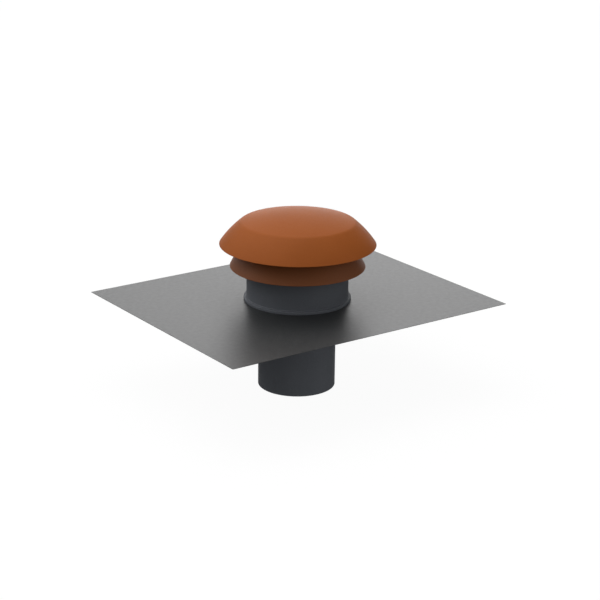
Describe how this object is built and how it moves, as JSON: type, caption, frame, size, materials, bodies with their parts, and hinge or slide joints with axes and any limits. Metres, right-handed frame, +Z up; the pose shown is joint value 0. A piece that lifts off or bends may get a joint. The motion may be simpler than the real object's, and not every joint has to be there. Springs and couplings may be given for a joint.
{
  "type": "roof vent terminal",
  "caption": "Roof vent terminal: domed rain cap over a flared deflector ring on a hollow duct collar, with a flat rectangular flashing plate round it and a plain spigot below.",
  "frame": {"origin": "centre of the spigot's lower end, on the axis of the duct", "axes": "+Z up the duct's axis towards the cap, +X along the long side of the flashing plate, +Y along its short side"},
  "size_m": [0.5, 0.4, 0.2746],
  "materials": {
    "flashing_sheet": "dark grey coated sheet, satin, with a fine grain",
    "anthracite_plastic": "satin moulded plastic, anthracite",
    "terracotta_plastic": "satin moulded plastic, terracotta"
  },
  "bodies": {
    "root": {"flashing_plate": "flashing_sheet", "vent_body": "anthracite_plastic", "deflector_ring": "terracotta_plastic", "rain_cap": "terracotta_plastic"}
  },
  "joints": []
}
